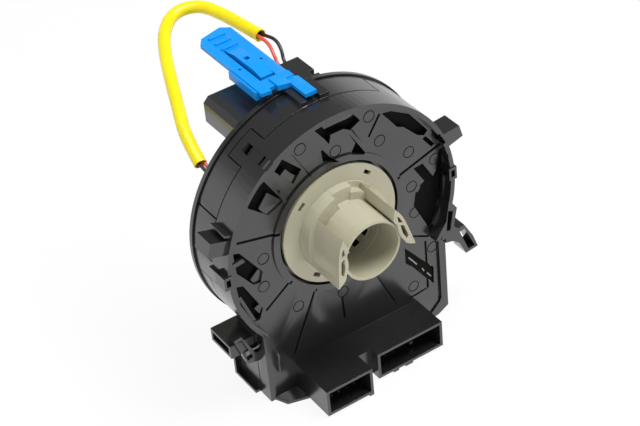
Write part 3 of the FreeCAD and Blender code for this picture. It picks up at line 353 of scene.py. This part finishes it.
def mouldedCopy(name, node, look):
    shape = bmesh.new()
    shape.from_mesh(nodes[node].data)
    bmesh.ops.remove_doubles(shape, verts=shape.verts, dist=look["mergeGap"])
    flatAngle = math.radians(look["flatAngle"])
    bmesh.ops.dissolve_limit(shape, angle_limit=flatAngle, verts=shape.verts, edges=shape.edges)
    made = addPiece(name, shape)
    bevel = made.modifiers.new("mouldRound", "BEVEL")
    bevel.width = look["edge"]
    bevel.segments = look["steps"]
    bevel.limit_method = "ANGLE"
    bevel.angle_limit = math.radians(look["edgeAngle"])
    bevel.harden_normals = True
    return made


for name, node, body in mouldings["shells"]:
    shell = mouldedCopy(name, node, mouldings)
    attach(shell, body)
    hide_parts(node)
    finishPiece(shell, slotOf[node])
print("mouldings rounded")


# ejector marks: faint rings on the face, drawn in the near-black painted-shade finish that darkens them; the
# spots and the plane are in millimetres, the sizes in metres
marks = {
    "spots": [
        (-36, 0), (-37.3, -13.6), (-22.7, -31.9), (-1, -36), (-14.2, 42.8), (1.5, 34.5), (18.2, 43.3),
        (22.3, 29.8), (35.8, 17.8), (48.2, 8.5), (36.1, 0.2), (36.9, -13.6), (44.8, -36), (34, -51.9),
    ],
    "facePlane": 1.0, "radius": 0.0025, "line": 0.00018, "ringSides": 40, "lineSides": 6,
    "lean": 0.025, "seed": 5,
}


def markTree(look, material):
    tree = bpy.data.node_groups.new("ejectorMarks", "GeometryNodeTree")
    addSockets(tree, "INPUT", (("Geometry", "Geometry"), ("Radius", "Float"), ("Line", "Float"),
                               ("Lean", "Float"), ("Seed", "Int")))
    addSockets(tree, "OUTPUT", (("Geometry", "Geometry"),))
    link = tree.links.new
    inside, outside = addNode(tree, "NodeGroupInput"), addNode(tree, "NodeGroupOutput")
    ring = addNode(tree, "GeometryNodeCurvePrimitiveCircle", {"Resolution": look["ringSides"]})
    thread = addNode(tree, "GeometryNodeCurvePrimitiveCircle", {"Resolution": look["lineSides"]})
    sweep = addNode(tree, "GeometryNodeCurveToMesh")
    link(inside.outputs["Radius"], ring.inputs["Radius"])
    link(inside.outputs["Line"], thread.inputs["Radius"])
    link(ring.outputs["Curve"], sweep.inputs["Curve"])
    link(thread.outputs["Curve"], sweep.inputs["Profile Curve"])
    # each ring stands on the face and leans a little, so part of it sinks in
    upright = (math.pi / 2, 0, 0)
    spread = addNode(tree, "ShaderNodeVectorMath", {0: (1, 1, 0)}, operation="SCALE")
    low = addNode(tree, "ShaderNodeVectorMath", {0: upright}, operation="SUBTRACT")
    high = addNode(tree, "ShaderNodeVectorMath", {0: upright}, operation="ADD")
    lean = addNode(tree, "FunctionNodeRandomValue", data_type="FLOAT_VECTOR")
    link(inside.outputs["Lean"], spread.inputs["Scale"])
    link(spread.outputs["Vector"], low.inputs[1])
    link(spread.outputs["Vector"], high.inputs[1])
    link(low.outputs["Vector"], lean.inputs["Min"])
    link(high.outputs["Vector"], lean.inputs["Max"])
    link(inside.outputs["Seed"], lean.inputs["Seed"])
    place = addNode(tree, "GeometryNodeInstanceOnPoints")
    real = addNode(tree, "GeometryNodeRealizeInstances")
    paint = addNode(tree, "GeometryNodeSetMaterial", {"Material": material})
    link(inside.outputs["Geometry"], place.inputs["Points"])
    link(sweep.outputs["Mesh"], place.inputs["Instance"])
    link(lean.outputs["Value"], place.inputs["Rotation"])
    link(place.outputs["Instances"], real.inputs["Geometry"])
    link(real.outputs["Geometry"], paint.inputs["Geometry"])
    link(paint.outputs["Geometry"], outside.inputs["Geometry"])
    return tree


def socketNamed(tree, name):
    return next(item.identifier for item in tree.interface.items_tree
                if item.item_type == "SOCKET" and item.in_out == "INPUT" and item.name == name)


def bakeTree(name, spots, tree, values):
    # the tree runs on a mesh of loose points, and its result becomes a plain mesh
    data = bpy.data.meshes.new(name + "Spots")
    data.from_pydata(spots, [], [])
    made = bpy.data.objects.new(name, data)
    scene.collection.objects.link(made)
    repeat = made.modifiers.new(name, "NODES")
    repeat.node_group = tree
    for key, value in values.items():
        repeat[socketNamed(tree, key)] = value
    bpy.context.view_layer.update()
    done = bpy.data.meshes.new_from_object(made.evaluated_get(bpy.context.evaluated_depsgraph_get()))
    made.modifiers.clear()
    made.data = done
    done.shade_smooth()
    return made


markSpots = [(x * millimetre, marks["facePlane"] * millimetre, z * millimetre) for x, z in marks["spots"]]
ejectorMarks = bakeTree("ejectorMarks", markSpots, markTree(marks, materials["shade"]), {
    "Radius": marks["radius"], "Line": marks["line"], "Lean": marks["lean"], "Seed": marks["seed"]})
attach(ejectorMarks, "stator")
finishPiece(ejectorMarks, "black_gloss", "shade")
print("ejector marks baked")


# bore: a slightly darker, greyer liner, its raised beads and two small windows deep in the hub tube, in
# millimetres and degrees
bore = {
    "wall": 12.36, "linerFront": -9.2, "linerRear": 2.6, "linerRise": 0.22, "linerSunk": 0.05, "sides": 96,
    "beads": [(-11.4, 0.12, 0.5), (-13.6, 0.08, 0.4), (-6.2, 0.34, 0.4)],
    "windows": [-67.0, -37.5], "windowSpot": -2.4, "windowWide": 3.1, "windowLong": 3.2,
    "frameRise": 0.5, "frameWide": 0.45, "shadeSunk": 0.2, "blockSteps": 4,
}


def boreSpot(radius, y, angle):
    turn = math.radians(angle)
    return Vector((radius * math.cos(turn), y, radius * math.sin(turn))) * millimetre


def lathe(shape, profile, sides):
    # the profile is closed: each point is a radius and a station
    rings = []
    for radius, y in profile:
        rings.append([shape.verts.new(boreSpot(radius, y, 360.0 * side / sides)) for side in range(sides)])
    for first, second in zip(rings, rings[1:] + rings[:1]):
        bridge(shape, first, second)


def makeLiner(look):
    shape = bmesh.new()
    wall, inner = look["wall"] + look["linerSunk"], look["wall"] - look["linerRise"]
    front, rear = look["linerFront"], look["linerRear"]
    profile = [(wall, front), (inner, front + look["linerRise"]), (inner, rear), (wall, rear)]
    lathe(shape, profile, look["sides"])
    for y, rise, wide in look["beads"]:
        bead = [(wall, y - wide / 2), (look["wall"] - rise, y), (wall, y + wide / 2)]
        lathe(shape, bead, look["sides"])
    bmesh.ops.recalc_face_normals(shape, faces=shape.faces)
    return addPiece("boreLiner", shape)


def curvedBlock(shape, angle, y, wide, long, low, high):
    # a block on the bore's wall: its width follows the curve
    steps = bore["blockSteps"]
    half = math.degrees(wide / 2 / low)
    front, rear = y - long / 2, y + long / 2
    columns = []
    for step in range(steps + 1):
        turn = angle - half + 2 * half * step / steps
        columns.append([shape.verts.new(boreSpot(radius, spot, turn))
                        for radius, spot in ((low, front), (high, front), (high, rear), (low, rear))])
    for first, second in zip(columns, columns[1:]):
        bridge(shape, first, second)
    shape.faces.new(columns[0])
    shape.faces.new(columns[-1])


def makeWindows(look):
    # the dark plates sunk in the windows are painted shade, for the dark pockets behind them
    frames, windowShades = bmesh.new(), bmesh.new()
    inner = look["wall"] - look["frameRise"]
    wide, long, rim = look["windowWide"], look["windowLong"], look["frameWide"]
    side = math.degrees((wide + rim) / 2 / look["wall"])
    for angle in look["windows"]:
        curvedBlock(windowShades, angle, look["windowSpot"], wide, long, look["wall"], inner + look["shadeSunk"])
        for offset in (-side, side):
            curvedBlock(frames, angle + offset, look["windowSpot"], rim, long + 2 * rim, look["wall"], inner)
        for offset in (-(long + rim) / 2, (long + rim) / 2):
            curvedBlock(frames, angle, look["windowSpot"] + offset, wide, rim, look["wall"], inner)
    pieces = []
    for name, shape in (("boreFrames", frames), ("boreWindowShade", windowShades)):
        bmesh.ops.recalc_face_normals(shape, faces=shape.faces)
        pieces.append(addPiece(name, shape))
    return pieces


boreLiner = makeLiner(bore)
boreFrames, boreWindowShade = makeWindows(bore)
for piece, look in ((boreLiner, "cream_grey"), (boreFrames, "cream"), (boreWindowShade, "shade")):
    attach(piece, "rotor")
    finishPiece(piece, "cream", look)
print("bore detailed")


# barbs: small teeth between the left wing and the tube's mouth, each an angle, low and high radius and width
barbs = {"teeth": [(153.0, 12.5, 14.6, 1.5), (171.0, 12.7, 14.6, 1.1)], "front": -23.7, "rear": -22.4}


def makeBarbs(look):
    shape = bmesh.new()
    for angle, low, high, wide in look["teeth"]:
        half = math.degrees(wide / 2 / high)
        ends = []
        for y in (look["front"], look["rear"]):
            ends.append([shape.verts.new(boreSpot(radius, y, turn))
                         for radius, turn in ((high, angle - half), (low, angle), (high, angle + half))])
        bridge(shape, *ends)
        for end in ends:
            shape.faces.new(end)
    bmesh.ops.recalc_face_normals(shape, faces=shape.faces)
    return addPiece("wingBarbs", shape)


wingBarbs = makeBarbs(barbs)
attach(wingBarbs, "rotor")
finishPiece(wingBarbs, "cream")
print("barbs added")


# openings: painted-shade plates in the dark slot beside the latch and over the dark opening low on the face,
# and painted-light plates for the three light slits in it
openings = {
    "latchLow": (-11.95, 30.6, 57.2), "latchHigh": (-11.05, 57.2, 57.5),
    "mouth": [(30.9, -30.1), (44.7, -47.2), (44.4, -55.6), (30.9, -37.3)], "mouthStations": (1.72, 1.86),
    "slits": [(32.8, -36.0, 36.8, -41.8), (39.4, -45.3, 40.3, -47.3), (41.7, -49.0, 43.7, -51.9)],
    "slitWide": 0.55, "slitStations": (1.66, 1.76),
}


def addPlate(shape, outline, stations):
    # a thin plate square to the axis, its outline in x and z
    front, rear = ([shape.verts.new(Vector((x, y, z)) * millimetre) for x, z in outline] for y in stations)
    bridge(shape, front, rear)
    shape.faces.new(front)
    shape.faces.new(rear)


def platePiece(name, outlines, stations, body, slot, look):
    shape = bmesh.new()
    for outline in outlines:
        addPlate(shape, outline, stations)
    bmesh.ops.recalc_face_normals(shape, faces=shape.faces)
    piece = addPiece(name, shape, smooth=False)
    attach(piece, body)
    finishPiece(piece, slot, look)


def slitOutline(ends, wide):
    first, last = Vector(ends[:2]), Vector(ends[2:])
    across = (last - first).orthogonal().normalized() * wide / 2
    return [first - across, last - across, last + across, first + across]


low, high = openings["latchLow"], openings["latchHigh"]
latchOutline = [(low[0], low[2]), (high[0], low[2]), (high[0], high[2]), (low[0], high[2])]
slitOutlines = [slitOutline(ends, openings["slitWide"]) for ends in openings["slits"]]
# painted shade: a near-black plate in the slot beside the latch, where only shade falls
platePiece("latchShade", [latchOutline], (low[1], high[1]), "lock", "blue", "shade")
# painted shade: a near-black plate over the opening low on the face, hiding the lit bar in it
platePiece("faceShade", [openings["mouth"]], openings["mouthStations"], "stator", "black_gloss", "shade")
# painted light: light-grey plates for the three bright slits in that opening
platePiece("faceSlits", slitOutlines, openings["slitStations"], "stator", "black_gloss", "painted_light")
print("openings shaded")


# studio: white floor, white surroundings, soft lamps
studio = {
    "floorSize": 4.0, "floorGlow": 0.9, "floorColour": (0.9, 0.9, 0.9), "floorRough": 0.7,
    "worldLow": 1.0, "worldHigh": 0.2, "bandLow": 0.15, "bandHigh": 0.5, "white": 1.0,
    "lamps": [
        {"name": "keyLamp", "place": (0.34, -0.30, 1.02), "size": 0.5, "power": 11.5},
        {"name": "topLamp", "place": (-0.25, 0.0, 1.1), "size": 0.6, "power": 4.5},
    ],
}


def anyRay(tree, names, level):
    # the level for a ray of any of the named kinds, and nothing for the others
    rays = addNode(tree, "ShaderNodeLightPath")
    total = rays.outputs[names[0]]
    for name in names[1:]:
        either = addNode(tree, "ShaderNodeMath", operation="MAXIMUM")
        tree.links.new(total, either.inputs[0])
        tree.links.new(rays.outputs[name], either.inputs[1])
        total = either.outputs["Value"]
    share = addNode(tree, "ShaderNodeMath", {1: level}, operation="MULTIPLY")
    tree.links.new(total, share.inputs[0])
    return share.outputs["Value"]


def addWorld(look):
    # white where it is seen, and a dim ceiling over a bright horizon where it lights
    world = bpy.data.worlds.new("studioWorld")
    scene.world = world
    world.use_nodes = True
    tree = world.node_tree
    link = tree.links.new
    background = tree.nodes["Background"]
    background.inputs["Color"].default_value = (1, 1, 1, 1)
    place, split = addNode(tree, "ShaderNodeTexCoord"), addNode(tree, "ShaderNodeSeparateXYZ")
    level = addNode(tree, "ShaderNodeMapRange", {
        "From Min": look["bandLow"], "From Max": look["bandHigh"],
        "To Min": look["worldLow"], "To Max": look["worldHigh"]}, interpolation_type="SMOOTHSTEP")
    seen = anyRay(tree, ("Is Camera Ray", "Is Transmission Ray"), 1.0)
    choose = addNode(tree, "ShaderNodeMix", {"B": look["white"]})
    link(place.outputs["Generated"], split.inputs["Vector"])
    link(split.outputs["Z"], level.inputs["Value"])
    link(seen, choose.inputs["Factor"])
    link(level.outputs["Result"], choose.inputs["A"])
    link(choose.outputs["Result"], background.inputs["Strength"])


def addFloor(look):
    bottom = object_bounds()[0].z
    half = look["floorSize"] / 2
    data = bpy.data.meshes.new("floor")
    corners = [(-half, -half, bottom), (half, -half, bottom), (half, half, bottom), (-half, half, bottom)]
    data.from_pydata(corners, [], [(0, 1, 2, 3)])
    floor = bpy.data.objects.new("floor", data)
    scene.collection.objects.link(floor)
    material = bpy.data.materials.new("floorPaper")
    material.use_nodes = True
    tree = material.node_tree
    link = tree.links.new
    shader = tree.nodes["Principled BSDF"]
    shader.inputs["Base Color"].default_value = (*look["floorColour"], 1)
    shader.inputs["Roughness"].default_value = look["floorRough"]
    glow = addNode(tree, "ShaderNodeEmission", {"Strength": look["white"]})
    seen = anyRay(tree, ("Is Camera Ray", "Is Glossy Ray", "Is Transmission Ray"), look["floorGlow"])
    blend = addNode(tree, "ShaderNodeMixShader")
    link(seen, blend.inputs["Fac"])
    link(shader.outputs["BSDF"], blend.inputs[1])
    link(glow.outputs["Emission"], blend.inputs[2])
    link(blend.outputs["Shader"], tree.nodes["Material Output"].inputs["Surface"])
    data.materials.append(material)
    floor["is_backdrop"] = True


def addLamp(look):
    data = bpy.data.lights.new(look["name"], "AREA")
    data.shape = "SQUARE"
    data.size = look["size"]
    data.energy = look["power"]
    lamp = bpy.data.objects.new(look["name"], data)
    place = Vector(look["place"])
    lamp.location = place
    lamp.rotation_mode = "QUATERNION"
    lamp.rotation_quaternion = (-place).to_track_quat("-Z", "Y")
    scene.collection.objects.link(lamp)


addWorld(studio)
addFloor(studio)
for lamp in studio["lamps"]:
    addLamp(lamp)
print("studio lit")
